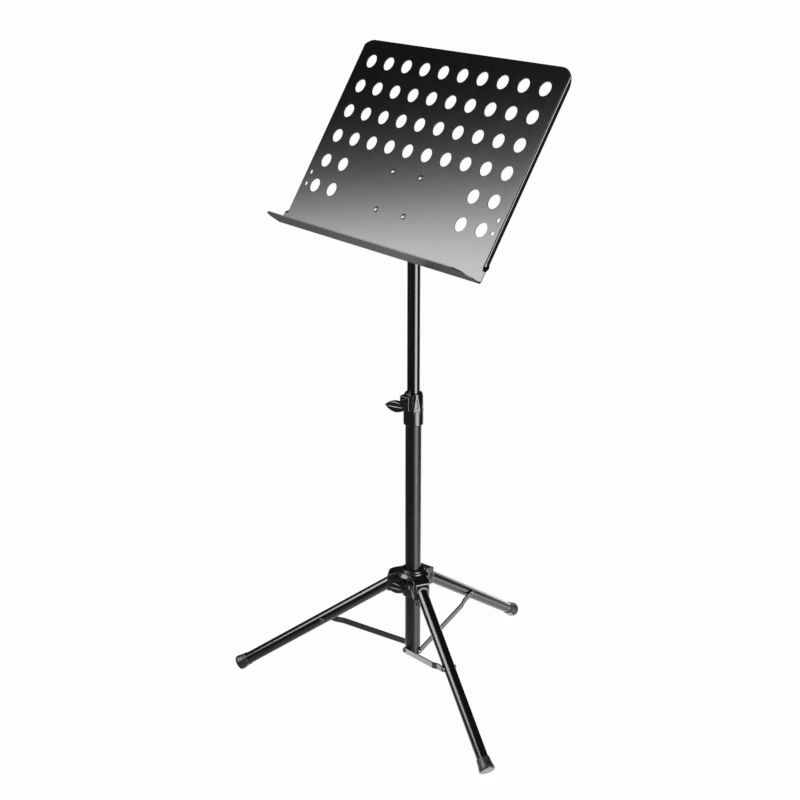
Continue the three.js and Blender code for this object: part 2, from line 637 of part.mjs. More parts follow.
// The origin lies on the floor under the middle of the whole stand.
const stand = group([base, mast, desk]);
stand.updateMatrixWorld(true);
const bounds = new THREE.Box3().setFromObject(stand, true);
const middle = bounds.getCenter(new THREE.Vector3());
stand.position.set(-middle.x, -middle.y, -bounds.min.z);

export default stand;
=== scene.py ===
"""A folding orchestra music stand in a white studio.

Lengths are millimetres until a piece is made, which turns them into metres."""

import json
import math

import bmesh
import bpy
from mathutils import Matrix, Vector


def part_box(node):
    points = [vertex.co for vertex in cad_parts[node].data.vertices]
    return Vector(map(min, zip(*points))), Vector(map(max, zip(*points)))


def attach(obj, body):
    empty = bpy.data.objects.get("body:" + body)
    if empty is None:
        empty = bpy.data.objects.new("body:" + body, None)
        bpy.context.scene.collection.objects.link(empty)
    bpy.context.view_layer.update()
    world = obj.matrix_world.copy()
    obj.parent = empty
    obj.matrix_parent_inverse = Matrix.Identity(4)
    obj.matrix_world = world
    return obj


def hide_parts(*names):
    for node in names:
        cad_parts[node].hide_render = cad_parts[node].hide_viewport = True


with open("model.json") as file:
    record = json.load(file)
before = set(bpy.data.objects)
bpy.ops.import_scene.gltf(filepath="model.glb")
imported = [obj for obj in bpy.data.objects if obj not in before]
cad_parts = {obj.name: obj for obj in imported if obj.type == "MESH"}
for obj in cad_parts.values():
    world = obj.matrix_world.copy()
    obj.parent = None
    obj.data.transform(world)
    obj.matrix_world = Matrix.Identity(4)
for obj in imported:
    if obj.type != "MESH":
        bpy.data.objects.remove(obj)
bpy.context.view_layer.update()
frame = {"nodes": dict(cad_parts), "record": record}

MM = 0.001

# ---- sizes ----

GAP = 0.3  # between neighbouring pieces
PIN_HOLE = 2.8

# The desk's own frame: X to the side, Y up the sheet, Z out of its front face.
SHEET = 1.5
SHEET_EDGE = 0.35
DESK_TILT = 32.3
DESK_Y = 28.7
DESK_Z = 968.4
DESK_TOP = 127.2
DESK_BEND = -211.5
BLANK_X = 246.4
FOLD_X = 239.25
FOLD_RADIUS = 1.75
FOLD_FULL_Y = -178.0
FOLD_NONE_Y = -193.0
CORNER = 30.0
LEDGE_DEPTH = 47.0
LEDGE_RISE = 3.6
LEDGE_RADIUS = 2.75
HOLE_PITCH = 45.0
HOLE_RADIUS = 11.5
HOLE_COLUMNS = 10
FULL_ROWS = 4
SIDE_ROWS = 2
SIDE_COLUMNS = 2
CLIP_HOLE_RADIUS = 3.3
CLIP_HOLE_X = 226.3
CLIP_HOLES_Y = (-115.0, -136.0)

# The bracket behind the desk and the tilting head.
PIVOT_DEPTH = 38.3
BRACKET_Y = -114.3
BRACKET_THICK = 2.0
BRACKET_HALF_X = 42.0
BRACKET_HALF_Y = 44.0
BRACKET_CORNER = 5.0
EAR_ROUND = 13.0
EAR_HALF = 32.0
EAR_SHOULDER = 5.0
RIVET_X = 33.2
RIVET_Y = 32.5
RIVET_SHANK = 2.5
RIVET_TAIL = 4.0
RIVET_TAIL_RISE = 1.8
RIVET_HEAD = 4.6
RIVET_HEAD_RISE = 2.0
TONGUE_HALF = 8.0
TONGUE_WIDE = 10.5
TONGUE_ROUND = 12.0
WASHER = 1.0
WASHER_RADIUS = 9.5
BOLT_RADIUS = 4.0
BOLT_HEAD = 7.5
EAR_THICK = 2.5
EAR_INNER = TONGUE_HALF + 2 * GAP + WASHER
EAR_OUTER = EAR_INNER + EAR_THICK
TILT_STEM = 13.0
TILT_WING_X = EAR_OUTER + GAP + TILT_STEM

# The column and its clamp.
UPPER_RADIUS = 10.5
UPPER_WALL = 1.3
UPPER_BOTTOM = 306.0
UPPER_TOP = 826.0
LOWER_RADIUS = 13.25
LOWER_WALL = 1.4
LOWER_BOTTOM = 60.0
PLUG_LIP = 2.5
PLUG_TOP = 80.0
LOWER_TOP = 517.5
CLUTCH_BOTTOM = 484.5
CLUTCH_TOP = 539.2
CLUTCH_RADIUS = 16.5
CLUTCH_TOP_RADIUS = 14.0
CLUTCH_CAP = 3.5
CLUTCH_FLAT_Z = 512.0
CLUTCH_LEAN = 5.0
CLUTCH_FACET = 0.9
CLUTCH_FACETS = (-30, 30, 90, 150, 210)
CLUTCH_DROPS = (-30, 210)
CLUTCH_BOSS_BOTTOM = 514.0
CLUTCH_BOSS_TOP = 538.5
CLUTCH_SCREW_Z = 527.7
DROP_DEPTH = 2.4
BOSS_REACH = 25.6
BOSS_HALF = 9.0
BOSS_ROOT = 5.0
BOSS_CORNER = 2.2
BOSS_EDGE = 0.9

# The wing screws.
SCREW_RADIUS = 3.0
SCREW_HOLE_END = 8.0
SCREW_IN_WING = 3.5  # how far from the wing's middle the screw ends
PAD_LENGTH = 2.0
WING_CENTRE = 45.0
WING_HALF = 24.0
WING_RISE = 10.0
WING_THICK = 11.0
WING_POINT = 1.8
WING_TAPER = 2.6
WING_ROLL = -4.0
LEAF_FLAT = 12.0  # how flat the leaf's faces are before they turn into its edges
LEAF_EDGE = 0.8
RIB_RISE = 0.8
RIB_HALF = 0.6
STEM_RADIUS = 6.5
STEM_END_RADIUS = 5.0
STEM_END = -3.0

# The hub, the legs and the struts.
BASE_YAW = 12.4
ARM_ANGLES = (-30.0, 90.0, 210.0)
HUB_BOTTOM = 173.0
HUB_TOP = 222.0
SLEEVE_RADIUS = 19.0
ARM_REACH = 43.0
ARM_HALF = 14.0
ARM_BOTTOM = 181.0
ARM_ROOF = 209.3
ARM_CORNER = 4.5
POCKET_HALF = 10.6
POCKET_START = 20.5
POCKET_DEEP = 12.0
ARCH_TOP = 205.0
PIVOT_R = 34.0
PIVOT_Z = 196.0
PIVOT_HOLE = 3.3
NUT_POCKET = 6.0
NUT_SINK = 1.8
HUB_BOSS_BOTTOM = 191.0
HUB_BOSS_TOP = 211.0
HUB_SCREW_Z = 201.4
RIBS_Y = (-6.0, 0.0, 6.0)
SLOT_START = 32.0
SLOT_TOP = 213.4
SLOT_SLOPE = 41.0
PIVOT_BOLT = 3.0
PIVOT_HEX = 5.2
LEG_RADIUS = 10.0
LEG_WALL = 1.2
LEG_RIVET_HOLE = 2.6
LEG_END_GAP = 3.0  # from the leg tube's end to the foot's end
FOOT_R = 311.0
FOOT_Z = 10.2
LEG_INNER = 4.5
FOOT_LENGTH = 21.0
FOOT_RADIUS = 13.0
FOOT_MOUTH = 11.2
FOOT_WAIST = 11.6
LEG_DROP = math.degrees(math.atan2(PIVOT_Z - FOOT_Z, FOOT_R - PIVOT_R))
LEG_LENGTH = math.hypot(PIVOT_Z - FOOT_Z, FOOT_R - PIVOT_R)
LINK_ON_LEG = 150.2
STRUT_Z = 64.7
STRUT_WIDE = 10.0
STRUT_THICK = 2.5
STRUT_BEND = (38.0, 22.0)  # where the set-over starts and ends, from the outer hole
STRUT_INNER_Y = LOWER_RADIUS + GAP + STRUT_THICK / 2
STRUT_OUTER_Y = LEG_RADIUS + GAP + STRUT_THICK / 2
LINK_R = PIVOT_R + LINK_ON_LEG * math.cos(math.radians(LEG_DROP))
LINK_Z = PIVOT_Z - LINK_ON_LEG * math.sin(math.radians(LEG_DROP))
STRUT_LENGTH = math.hypot(LINK_R, LINK_Z - STRUT_Z)
STRUT_RISE = math.degrees(math.atan2(LINK_Z - STRUT_Z, LINK_R))


# ---- places ----


def shift(x=0.0, y=0.0, z=0.0):
    return Matrix.Translation((x, y, z))


def turn(axis, degrees):
    return Matrix.Rotation(math.radians(degrees), 4, axis)


low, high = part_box("upper_tube")
POLE = shift((low[0] + high[0]) / 2 / MM, (low[1] + high[1]) / 2 / MM, 0)
BASE = POLE @ turn("Z", BASE_YAW)
ARMS = [BASE @ turn("Z", angle) for angle in ARM_ANGLES]
DESK = POLE @ shift(0, DESK_Y, DESK_Z) @ turn("X", 90 - DESK_TILT)


def leg_place(i):
    return ARMS[i] @ shift(PIVOT_R, 0, PIVOT_Z) @ turn("Y", LEG_DROP)


def strut_place(i):
    return ARMS[i] @ shift(0, 0, STRUT_Z) @ turn("Y", -STRUT_RISE)


# ---- mesh tools ----


def spaced(start, end, count):
    """count + 1 values from start to end."""
    return [start + (end - start) * k / count for k in range(count + 1)]


def eased(value, start, end):
    """0 at start and 1 at end, with a smooth way between them."""
    t = min(1.0, max(0.0, (value - start) / (end - start)))
    return t * t * (3 - 2 * t)


def arc(cx, cy, radius, start, end, steps):
    """Points along an arc, in degrees, both ends included."""
    points = []
    for degrees in spaced(start, end, steps):
        a = math.radians(degrees)
        points.append((cx + radius * math.cos(a), cy + radius * math.sin(a)))
    return points


def ring(cx, cy, radius, steps=48):
    """A clockwise circle, as plate wants a hole."""
    return arc(cx, cy, radius, 0, -360 * (steps - 1) / steps, steps - 1)


def filleted(points, closed=True, steps=4):
    """The outline with each (x, y, radius) corner rounded to its radius."""
    out = []
    count = len(points)
    for i, point in enumerate(points):
        here = Vector(point[:2])
        radius = point[2] if len(point) > 2 else 0.0
        if radius <= 0 or (not closed and i in (0, count - 1)):
            out.append(tuple(here))
            continue
        before = Vector(points[i - 1][:2]) - here
        after = Vector(points[(i + 1) % count][:2]) - here
        angle = before.angle(after)
        reach = min(radius / math.tan(angle / 2), before.length * 0.49, after.length * 0.49)
        a = here + before.normalized() * reach
        b = here + after.normalized() * reach
        for k in range(steps + 1):
            t = k / steps
            q = a * (1 - t) ** 2 + here * 2 * t * (1 - t) + b * t**2
            out.append((q.x, q.y))
    return out


def turned(points, sides=64, closed=False):
    """A solid of revolution about Z from (radius, z) points.

    closed joins the last point to the first, for a solid with a bore."""
    bm = bmesh.new()
    rings = []
    for radius, z in points:
        if radius < 1e-6:
            rings.append([bm.verts.new((0, 0, z))])
            continue
        step = 2 * math.pi / sides
        rings.append([
            bm.verts.new((radius * math.cos(k * step), radius * math.sin(k * step), z))
            for k in range(sides)
        ])
    pairs = list(zip(rings, rings[1:]))
    if closed:
        pairs.append((rings[-1], rings[0]))
    for a, b in pairs:
        for k in range(sides):
            n = (k + 1) % sides
            corners = [a[k % len(a)], a[n % len(a)], b[n % len(b)], b[k % len(b)]]
            unique = list(dict.fromkeys(corners))
            if len(unique) > 2:
                bm.faces.new(unique)
    bmesh.ops.recalc_face_normals(bm, faces=bm.faces)
    return bm


def tube(outer, inner, z0, z1, sides=64, edge=0.3):
    points = [(inner, z0, edge), (outer, z0, edge), (outer, z1, edge), (inner, z1, edge)]
    return turned(filleted(points, steps=2), sides, closed=True)


def rod(radius, z0, z1, sides=48, edge=0.0):
    points = [(0, z0), (radius, z0, edge), (radius, z1, edge), (0, z1)]
    return turned(filleted(points, closed=False, steps=3), sides)


def to_object(bm):
    mesh = bpy.data.meshes.new("work")
    bm.to_mesh(mesh)
    bm.free()
    made = bpy.data.objects.new("work", mesh)
    bpy.context.collection.objects.link(made)
    return made


def evaluated(obj):
    """obj's mesh with its modifiers, as a bmesh; obj is removed."""
    graph = bpy.context.evaluated_depsgraph_get()
    graph.update()
    mesh = bpy.data.meshes.new_from_object(obj.evaluated_get(graph))
    bm = bmesh.new()
    bm.from_mesh(mesh)
    bpy.data.meshes.remove(mesh)
    data = obj.data
    bpy.data.objects.remove(obj)
    if data.users == 0 and isinstance(data, bpy.types.Mesh):
        bpy.data.meshes.remove(data)
    return bm


def plate(outer, holes, z0, z1, edge=0.0, steps=2):
    """A flat plate from an anticlockwise outline and clockwise holes, with rounded edges."""
    curve = bpy.data.curves.new("outline", "CURVE")
    curve.dimensions = "2D"
    curve.fill_mode = "BOTH"
    curve.extrude = (z1 - z0) / 2 - edge
    curve.bevel_depth = edge
    curve.bevel_resolution = steps
    curve.offset = -edge
    for loop in [outer, *holes]:
        spline = curve.splines.new("POLY")
        spline.points.add(len(loop) - 1)
        for point, (x, y) in zip(spline.points, loop):
            point.co = (x, y, 0, 1)
        spline.use_cyclic_u = True
    made = bpy.data.objects.new("outline", curve)
    bpy.context.collection.objects.link(made)
    bm = evaluated(made)
    bpy.data.curves.remove(curve)
    bmesh.ops.translate(bm, verts=bm.verts, vec=(0, 0, (z0 + z1) / 2))
    bmesh.ops.remove_doubles(bm, verts=bm.verts, dist=1e-3)
    bmesh.ops.recalc_face_normals(bm, faces=bm.faces)
    return bm


def moved(bm, matrix):
    bm.transform(matrix)
    return bm


UPRIGHT = Matrix(((1, 0, 0, 0), (0, 0, -1, 0), (0, 1, 0, 0), (0, 0, 0, 1)))
SIDEWAYS = Matrix(((0, 0, 1, 0), (1, 0, 0, 0), (0, 1, 0, 0), (0, 0, 0, 1)))


def plate_xz(outer, holes, y0, y1, edge=0.0):
    """A plate whose outline is in x and z, thick from y0 to y1."""
    return moved(plate(outer, holes, -y1, -y0, edge), UPRIGHT)


def plate_yz(outer, holes, x0, x1, edge=0.0):
    """A plate whose outline is in y and z, thick from x0 to x1."""
    return moved(plate(outer, holes, x0, x1, edge), SIDEWAYS)


def along_x(bm):
    return moved(bm, turn("Y", 90))


def along_y(bm):
    return moved(bm, turn("X", -90))


def block(low, high):
    bm = bmesh.new()
    bmesh.ops.create_cube(bm, size=1)
    size = [b - a for a, b in zip(low, high)]
    middle = [(a + b) / 2 for a, b in zip(low, high)]
    bmesh.ops.scale(bm, verts=bm.verts, vec=size)
    bmesh.ops.translate(bm, verts=bm.verts, vec=middle)
    return bm


def combined(body, tools, operation):
    """The body with each tool added or taken away."""
    target = to_object(body)
    helpers = []
    for tool in tools:
        helper = to_object(tool)
        modifier = target.modifiers.new("combine", "BOOLEAN")
        modifier.operation = operation
        modifier.solver = "EXACT"
        modifier.object = helper
        helpers.append(helper)
    bm = evaluated(target)
    for helper in helpers:
        data = helper.data
        bpy.data.objects.remove(helper)
        bpy.data.meshes.remove(data)
    return bm


def joined(parts):
    return combined(parts[0], parts[1:], "UNION")


def cut(body, tools):
    return combined(body, tools, "DIFFERENCE")


def softened(bm, width, segments=2, angle=32):
    """The solid with its sharp edges rounded."""
    bmesh.ops.remove_doubles(bm, verts=bm.verts, dist=2e-3)
    bmesh.ops.dissolve_limit(bm, angle_limit=math.radians(1.0), verts=bm.verts, edges=bm.edges)
    target = to_object(bm)
    modifier = target.modifiers.new("round", "BEVEL")
    modifier.width = width
    modifier.segments = segments
    modifier.limit_method = "ANGLE"
    modifier.angle_limit = math.radians(angle)
    modifier.use_clamp_overlap = True
    return evaluated(target)


# ---- materials ----

NOISE_RANGE = (0.3, 0.7)
MOTTLE = (0.85, 1.15)
WORN_EDGE = (0.53, 0.62)
# How far down a face must look before it gets the painted reflection of the bright floor.
FLOOR_REFLECTION_FACING = (-0.42, -0.54)


def coat(
    name, colour, roughness, *,
    metallic=0.0, spread=0.04, grain=900.0, bump=0.15, wear=0.0, gloss=0.5, painted_floor_reflection=0.0,
):
    """A finish in object coordinates: mottled colour and roughness and a fine grain.

    wear lightens the edges by that share, and the last argument is the grey of a painted floor reflection on
    faces that look down."""
    material = bpy.data.materials.new(name)
    material.use_nodes = True
    tree = material.node_tree
    shader = tree.nodes["Principled BSDF"]
    shader.inputs["Metallic"].default_value = metallic
    shader.inputs["Specular IOR Level"].default_value = gloss
    place = tree.nodes.new("ShaderNodeTexCoord")

    def noise(scale, detail=2.0):
        node = tree.nodes.new("ShaderNodeTexNoise")
        node.inputs["Scale"].default_value = scale
        node.inputs["Detail"].default_value = detail
        tree.links.new(place.outputs["Object"], node.inputs["Vector"])
        return node.outputs["Fac"]

    def mapped(value, before, after):
        node = tree.nodes.new("ShaderNodeMapRange")
        node.inputs["From Min"].default_value, node.inputs["From Max"].default_value = before
        node.inputs["To Min"].default_value, node.inputs["To Max"].default_value = after
        tree.links.new(value, node.inputs["Value"])
        return node.outputs["Result"]

    def laid_over(below, share, above):
        node = tree.nodes.new("ShaderNodeMix")
        node.data_type = "RGBA"
        node.inputs[7].default_value = (*above, 1)
        tree.links.new(share, node.inputs[0])
        tree.links.new(below, node.inputs[6])
        return node.outputs[2]

    ramp = tree.nodes.new("ShaderNodeValToRGB")
    for element, position, part in zip(ramp.color_ramp.elements, NOISE_RANGE, MOTTLE):
        element.position = position
        element.color = (*[c * part for c in colour], 1)
    tree.links.new(noise(28.0, 4.0), ramp.inputs["Fac"])
    colour_out = ramp.outputs["Color"]
    if wear:
        edges = tree.nodes.new("ShaderNodeNewGeometry")
        worn = mapped(edges.outputs["Pointiness"], WORN_EDGE, (0.0, wear))
        colour_out = laid_over(colour_out, worn, [min(1.0, c * 3 + 0.03) for c in colour])
    # Painted reflection: faces that look down are laid over with light grey that stands in for the bright
    # floor mirrored in them.
    if painted_floor_reflection:
        facing = tree.nodes.new("ShaderNodeSeparateXYZ")
        tree.links.new(place.outputs["Normal"], facing.inputs["Vector"])
        painted_reflection_share = mapped(facing.outputs["Z"], FLOOR_REFLECTION_FACING, (0.0, 1.0))
        colour_out = laid_over(colour_out, painted_reflection_share, (painted_floor_reflection, painted_floor_reflection, painted_floor_reflection))
    tree.links.new(colour_out, shader.inputs["Base Color"])
    rough = (max(0.02, roughness - spread), roughness + spread)
    tree.links.new(mapped(noise(60.0, 3.0), NOISE_RANGE, rough), shader.inputs["Roughness"])
    relief = tree.nodes.new("ShaderNodeBump")
    relief.inputs["Strength"].default_value = bump
    relief.inputs["Distance"].default_value = 0.0002
    tree.links.new(noise(grain, 2.0), relief.inputs["Height"])
    tree.links.new(relief.outputs["Normal"], shader.inputs["Normal"])
    return material


POWDER, TUBE, SATIN, PLASTIC = (0.010,) * 3, (0.009,) * 3, (0.004,) * 3, (0.011,) * 3
RUBBER, STEEL, BRASS = (0.018,) * 3, (0.10, 0.10, 0.105), (0.60, 0.42, 0.17)
FINISH = {
    "powder_coat": coat("powder_coat", POWDER, 0.17, spread=0.012, bump=0.012, grain=900, wear=0.2),
    "tube_coat": coat("tube_coat", TUBE, 0.20, spread=0.012, bump=0.01, grain=900, wear=0.2),
    "satin_coat": coat("satin_coat", SATIN, 0.40, spread=0.02, bump=0.02, grain=1200, wear=0.2, gloss=0.35),
    "black_plastic": coat("black_plastic", PLASTIC, 0.27, bump=0.04, grain=1400, wear=0.15),
    # The rubber's downward faces get a painted light-grey reflection of the bright floor.
    "black_rubber": coat("black_rubber", RUBBER, 0.45, spread=0.06, bump=0.3, grain=1200, painted_floor_reflection=0.42),
    "black_steel": coat("black_steel", STEEL, 0.32, metallic=0.9, bump=0.1, grain=2000, wear=0.3),
    "brass": coat("brass", BRASS, 0.3, metallic=1.0, bump=0.1, grain=1800),
}
SLOTS = {row["node"]: row["material_slot"] for row in frame["record"]["subparts"]}
BODIES = {node: body for body, nodes in frame["record"]["behaviour"]["bodies"].items() for node in nodes}
for node, carried in frame["nodes"].items():
    carried.data.materials.clear()
    carried.data.materials.append(FINISH[SLOTS[node]])


def piece(name, bm, place, *nodes, sharp=32.0):
    """The finished shape at its place, riding with the nodes that it stands for."""
    bmesh.ops.remove_doubles(bm, verts=bm.verts, dist=1e-4)
    bm.transform(Matrix.Scale(MM, 4) @ place)
    bm.normal_update()
    for face in bm.faces:
        face.smooth = True
    for line in bm.edges:
        if len(line.link_faces) == 2:
            line.smooth = line.calc_face_angle(0.0) < math.radians(sharp)
    mesh = bpy.data.meshes.new(name)
    bm.to_mesh(mesh)
    bm.free()
    made = bpy.data.objects.new(name, mesh)
    bpy.context.collection.objects.link(made)
    weighted = made.modifiers.new("normals", "WEIGHTED_NORMAL")
    weighted.keep_sharp = True
    slot = SLOTS[nodes[0]]
    mesh.materials.append(FINISH[slot])
    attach(made, BODIES[nodes[0]])
    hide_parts(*nodes)
    return made


# ---- desk ----


def hole_places():
    """Ten columns of holes in four full rows, then two rows with two holes at each side."""
    for row in range(FULL_ROWS + SIDE_ROWS):
        for column in range(HOLE_COLUMNS):
            if row >= FULL_ROWS and min(column, HOLE_COLUMNS - 1 - column) >= SIDE_COLUMNS:
                continue
            yield (column - (HOLE_COLUMNS - 1) / 2) * HOLE_PITCH, (2 - row) * HOLE_PITCH


LEDGE_TURN = math.radians(90 + LEDGE_RISE)
LEDGE_TANGENT = LEDGE_RADIUS * math.tan(LEDGE_TURN / 2)
MEET_Y = DESK_BEND + SHEET / 2 * (1 - math.radians(LEDGE_RISE))
ARC_Y = MEET_Y + LEDGE_TANGENT
ARC_LENGTH = LEDGE_RADIUS * LEDGE_TURN
BLANK_BOTTOM = ARC_Y - ARC_LENGTH - (LEDGE_DEPTH + SHEET / 2 - LEDGE_TANGENT)


def fold_angle(y):
    """How far the side is folded back at this height on the blank."""
    return math.pi / 2 * eased(y, FOLD_NONE_Y, FOLD_FULL_Y)


def bent(x, y, z):
    """The point of the flat blank in the folded sheet; z runs through the sheet from its middle."""
    side, reach, angle = math.copysign(1, x), abs(x), fold_angle(y)
    start = FOLD_X - FOLD_RADIUS
    out, depth = reach, z
    if reach > start and angle > 1e-4:
        part = min((reach - start) / FOLD_RADIUS, angle)
        rest = reach - start - part * FOLD_RADIUS
        out = start + (FOLD_RADIUS + z) * math.sin(part) + rest * math.cos(part)
        depth = (FOLD_RADIUS + z) * math.cos(part) - FOLD_RADIUS - rest * math.sin(part)
    if y >= ARC_Y:
        return side * out, y, depth - SHEET / 2
    part = min((ARC_Y - y) / LEDGE_RADIUS, LEDGE_TURN)
    rest = ARC_Y - y - part * LEDGE_RADIUS
    height = ARC_Y - (LEDGE_RADIUS - depth) * math.sin(part) - rest * math.cos(part)
    forward = LEDGE_RADIUS - (LEDGE_RADIUS - depth) * math.cos(part) + rest * math.sin(part)
    return side * out, height, forward - SHEET / 2


def slice_across(bm, axis, values):
    """Edges across the sheet at each value, so that it can bend there."""
    for value in values:
        point, normal = [0, 0, 0], [0, 0, 0]
        point[axis], normal[axis] = value, 1
        everything = [*bm.verts, *bm.edges, *bm.faces]
        bmesh.ops.bisect_plane(bm, geom=everything, dist=1e-4, plane_co=point, plane_no=normal)


def desk_sheet():
    """The flat blank with its holes, bent into the two sides and the ledge."""
    corner_x, top, bottom = BLANK_X - CORNER, DESK_TOP - CORNER, BLANK_BOTTOM + CORNER
    outline = [
        *arc(corner_x, top, CORNER, 0, 90, 24), *arc(-corner_x, top, CORNER, 90, 180, 24),
        *arc(-corner_x, bottom, CORNER, 180, 270, 24), *arc(corner_x, bottom, CORNER, 270, 360, 24),
    ]
    holes = [ring(x, y, HOLE_RADIUS, 48) for x, y in hole_places()]
    holes += [ring(s * CLIP_HOLE_X, y, CLIP_HOLE_RADIUS, 24) for s in (-1, 1) for y in CLIP_HOLES_Y]
    bm = plate(outline, holes, -SHEET / 2, SHEET / 2, SHEET_EDGE)
    fold_start = FOLD_X - FOLD_RADIUS
    folds = spaced(fold_start, fold_start + FOLD_RADIUS * math.pi / 2, 6)
    slice_across(bm, 0, [s * x for s in (-1, 1) for x in folds])
    slice_across(bm, 1, spaced(FOLD_NONE_Y, FOLD_FULL_Y, 12))
    slice_across(bm, 1, spaced(ARC_Y, ARC_Y - ARC_LENGTH, 10))
    for vertex in bm.verts:
        vertex.co = bent(*vertex.co)
    return bm


RIVETS = [(s * RIVET_X, BRACKET_Y + e * RIVET_Y) for s in (-1, 1) for e in (-1, 1)]


def bracket():
    """The riveted base plate and the two ears that hold the bolt."""
    front = -SHEET - GAP
    x, y, corner = BRACKET_HALF_X, BRACKET_HALF_Y, BRACKET_CORNER
    base = filleted([(-x, -y, corner), (x, -y, corner), (x, y, corner), (-x, y, corner)], steps=6)
    holes = [ring(x, y - BRACKET_Y, PIN_HOLE, 24) for x, y in RIVETS]
    made = moved(plate(base, holes, front - BRACKET_THICK, front, SHEET_EDGE), shift(0, BRACKET_Y, 0))
    root, shoulder = front - 0.5, front - EAR_SHOULDER
    ear = [
        (EAR_HALF, root), (-EAR_HALF, root), (-EAR_HALF, shoulder),
        *arc(0, -PIVOT_DEPTH, EAR_ROUND, 180, 360, 24), (EAR_HALF, shoulder),
    ]
    hole = [ring(0, -PIVOT_DEPTH, BOLT_RADIUS + GAP, 32)]
    ears = []
    for x0, x1 in ((EAR_INNER, EAR_OUTER), (-EAR_OUTER, -EAR_INNER)):
        ears.append(moved(plate_yz(ear, hole, x0, x1, SHEET_EDGE), shift(0, BRACKET_Y, 0)))
    return joined([made, *ears])


def dome(radius, rise, base, step=12):
    """The profile of a domed head that stands on z = base."""
    angles = [math.radians(a) for a in range(0, 85, step)]
    return [*((radius * math.cos(a), base + rise * math.sin(a)) for a in angles), (0, base + rise)]


def bracket_rivet():
    back = -SHEET - GAP - BRACKET_THICK
    tail = back - RIVET_TAIL_RISE
    points = [
        (0, tail), (RIVET_TAIL, tail, 1.2), (RIVET_TAIL, back - GAP, 0.2),
        (RIVET_SHANK, back - GAP), (RIVET_SHANK, GAP),
    ]
    return turned([*filleted(points, closed=False), *dome(RIVET_HEAD, RIVET_HEAD_RISE, GAP, 10)], 32)


def wing(bore, stem_start):
    """A flat leaf with a thin rib along its middle, standing across a stem.

    The screw runs along Y and the leaf along X."""
    bm = bmesh.new()
    across, around = 40, 96
    loops = []
    for i in range(1, across):
        u = -math.cos(math.pi * i / across)
        rise = WING_RISE * (1 - abs(u) ** WING_POINT)
        thick = (WING_THICK / 2 - RIB_RISE) * (1 - abs(u) ** WING_TAPER)
        loop = []
        for k in range(around):
            a = 2 * math.pi * k / around
            z = math.sin(a) * rise
            rib = RIB_RISE * math.exp(-((z / RIB_HALF) ** 2)) * (1 - u * u)
            face = (1 - abs(math.sin(a)) ** LEAF_FLAT) ** LEAF_EDGE * thick
            y = math.copysign(face + rib * math.cos(a) ** 2, math.cos(a))
            loop.append(bm.verts.new((u * WING_HALF, y, z)))
        loops.append(loop)
    ends = [bm.verts.new((-WING_HALF, 0, 0)), bm.verts.new((WING_HALF, 0, 0))]
    for a, b in zip(loops, loops[1:]):
        for k in range(around):
            n = (k + 1) % around
            bm.faces.new((a[k], a[n], b[n], b[k]))
    for end, loop in ((ends[0], loops[0]), (ends[1], loops[-1])):
        for k in range(around):
            bm.faces.new((end, loop[k], loop[(k + 1) % around]))
    bmesh.ops.recalc_face_normals(bm, faces=bm.faces)
    points = [
        (0, stem_start), (STEM_RADIUS, stem_start, 0.6), (STEM_RADIUS, stem_start + 5, 3.0),
        (STEM_END_RADIUS, STEM_END, 1.0), (0, STEM_END + 1),
    ]
    stem = along_y(turned(filleted(points, closed=False), 32))
    hole = along_y(rod(bore, stem_start - 1, STEM_END, 32))
    return cut(joined([bm, stem]), [hole])


def wing_screw(name, z, inner):
    """The handle, the screw at height z and the pad that it presses on a tube of the inner radius."""
    handle = BASE @ shift(0, -WING_CENTRE, z) @ turn("Y", WING_ROLL) @ turn("Z", 180)
    stem_start = BOSS_REACH + GAP - WING_CENTRE
    piece(f"{name}_wing_handle", wing(SCREW_RADIUS + GAP, stem_start), handle, f"{name}_wing")
    at = BASE @ shift(0, 0, z)
    screw_end = -inner - PAD_LENGTH - GAP
    screw = along_y(rod(SCREW_RADIUS, -WING_CENTRE + SCREW_IN_WING, screw_end, 32, 0.4))
    piece(f"{name}_threaded_screw", screw, at, f"{name}_screw")
    pad = along_y(rod(SCREW_RADIUS, -inner - PAD_LENGTH, -inner, 32, 0.3))
    piece(f"{name}_brass_pad", pad, at, f"{name}_pad")


piece("desk_sheet", desk_sheet(), DESK, "desk_panel")
piece("desk_bracket_folded", bracket(), DESK, "desk_bracket")
for i, (x, y) in enumerate(RIVETS):
    piece(f"bracket_rivet_head_{i + 1}", bracket_rivet(), DESK @ shift(x, y), f"bracket_rivet_{i + 1}")

TILT_AXIS = DESK @ shift(0, BRACKET_Y, -PIVOT_DEPTH)
shank = along_x(rod(BOLT_RADIUS, -EAR_OUTER - 1, TILT_WING_X - SCREW_IN_WING, 40, 0.4))
head = along_x(softened(rod(BOLT_HEAD, -EAR_OUTER - 5.3, -EAR_OUTER - GAP, 6), 0.5))
piece("tilt_hex_bolt", joined([shank, head]), TILT_AXIS, "tilt_bolt")
tilt_wing = TILT_AXIS @ shift(TILT_WING_X) @ turn("X", 90) @ turn("Z", -90)
piece("tilt_wing_nut", wing(BOLT_RADIUS + GAP, -TILT_STEM), tilt_wing, "tilt_wing")

# ---- column ----

upper = tube(UPPER_RADIUS, UPPER_RADIUS - UPPER_WALL, UPPER_BOTTOM, UPPER_TOP)
piece("upper_column_tube", upper, POLE, "upper_tube")

